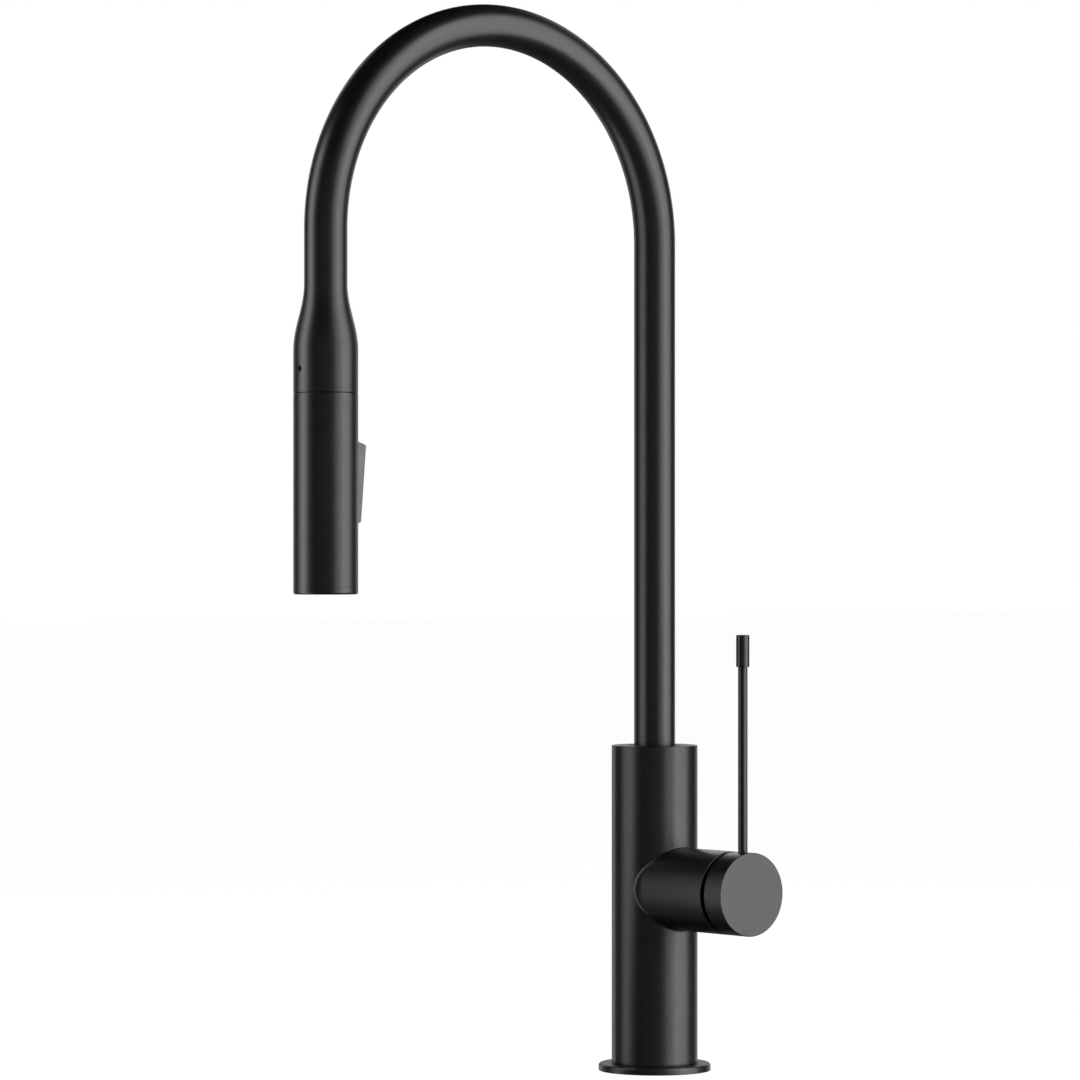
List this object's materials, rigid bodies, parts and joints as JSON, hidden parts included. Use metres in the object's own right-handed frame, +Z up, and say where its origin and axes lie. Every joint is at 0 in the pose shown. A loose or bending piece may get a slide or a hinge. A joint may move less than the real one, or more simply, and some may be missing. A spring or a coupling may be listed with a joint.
{
  "type": "pull-down kitchen faucet",
  "caption": "Tall gooseneck kitchen mixer with a swivelling spout, a docked pull-down spray head with a rocker button, and a thin side lever on a round knob.",
  "frame": {"origin": "centre of the base flange's underside, where the column's axis meets the top of the worktop", "axes": "+Z up along the column, -Y from the column towards the spout's outlet, +X towards the lever's side"},
  "size_m": [0.108, 0.2665, 0.651],
  "materials": {
    "matte_black": "satin",
    "black_plastic": "matte",
    "button_grey": "satin",
    "brass": "satin",
    "steel": "satin",
    "rubber": "matte",
    "silicone": "matte",
    "white_plastic": "satin",
    "ceramic": "satin",
    "hose_braid": "satin"
  },
  "bodies": {
    "mixer": {"mixer_body": "matte_black", "hot_inlet": "brass", "cold_inlet": "brass", "mixed_outlet": "brass", "base_flange": "matte_black", "base_seal": "rubber", "shank": "brass", "deck_washer": "rubber", "clamp_washer": "steel", "shank_nut": "brass", "jack_screw_1": "steel", "jack_screw_2": "steel", "jack_screw_3": "steel", "cartridge_base_seal": "rubber", "cartridge_base": "white_plastic", "ceramic_disc_fixed": "ceramic", "cartridge_housing": "white_plastic", "cartridge_nut": "brass", "trim_ring": "matte_black", "spout_bush": "black_plastic", "thrust_washer": "white_plastic", "spout_stop_screw": "steel", "hose_riser": "hose_braid", "hose_connector": "brass"},
    "cartridge_core": {"cartridge_rotor": "white_plastic", "stem_pin": "steel"},
    "moving_disc": {"disc_carrier": "white_plastic", "ceramic_disc_moving": "ceramic"},
    "lever": {"cartridge_stem": "brass", "lever_knob": "matte_black", "knob_grub_screw": "steel", "lever_rod": "matte_black", "lever_tip": "matte_black"},
    "spout": {"spout_tube": "matte_black", "spout_sleeve": "brass", "hose_arch": "hose_braid", "dock_bush": "black_plastic", "dock_magnet": "steel", "collar_grub_screw": "steel"},
    "hose_end": {"hose_drop": "hose_braid", "hose_ferrule": "steel", "swivel_nut": "brass", "hose_seal": "rubber"},
    "spray_head": {"head_shell": "matte_black", "face_bezel": "matte_black", "head_top": "black_plastic", "head_inlet": "brass", "dock_keeper": "steel", "check_valve": "white_plastic", "waterway_core": "white_plastic", "rocker_pin": "steel", "nozzle_plate": "black_plastic", "nozzle_mat": "silicone", "aerator": "black_plastic"},
    "rocker": {"rocker_button": "button_grey"},
    "spool": {"diverter_spool": "brass"}
  },
  "joints": [
    {"name": "spout_swivel", "type": "hinge", "parent": "mixer", "child": "spout", "pos_m": [0, 0, 0.15], "axis": [0, 0, 1], "continuous": true},
    {"name": "head_pull", "type": "slide", "parent": "spout", "child": "hose_end", "axis": [0, 0, -1], "range_m": [0, 0.24], "deforming": ["hose_drop"]},
    {"name": "head_swivel", "type": "hinge", "parent": "hose_end", "child": "spray_head", "pos_m": [0, -0.22, 0.38], "axis": [0, 0, 1], "continuous": true},
    {"name": "rocker_tilt", "type": "hinge", "parent": "spray_head", "child": "rocker", "pos_m": [0, -0.2096, 0.3126], "axis": [1, 0, 0], "range_deg": [0, 9]},
    {"name": "spool_slide", "type": "slide", "parent": "spray_head", "child": "spool", "axis": [0, 0, -1], "range_m": [0, 0.00094]},
    {"name": "lever_turn", "type": "hinge", "parent": "mixer", "child": "cartridge_core", "pos_m": [0.05, 0, 0.098], "axis": [1, 0, 0], "range_deg": [-45, 45]},
    {"name": "lever_tilt", "type": "hinge", "parent": "cartridge_core", "child": "lever", "pos_m": [0.051, 0, 0.098], "axis": [0, 1, 0], "range_deg": [0, 20]},
    {"name": "disc_slide", "type": "slide", "parent": "cartridge_core", "child": "moving_disc", "axis": [0, 0, 1], "range_m": [0, 0.0027]}
  ],
  "couplings": [
    {"joint": "rocker_tilt", "follows": "spool_slide", "rad_per_m": 166.67},
    {"joint": "disc_slide", "follows": "lever_tilt", "m_per_rad": 0.0074}
  ]
}
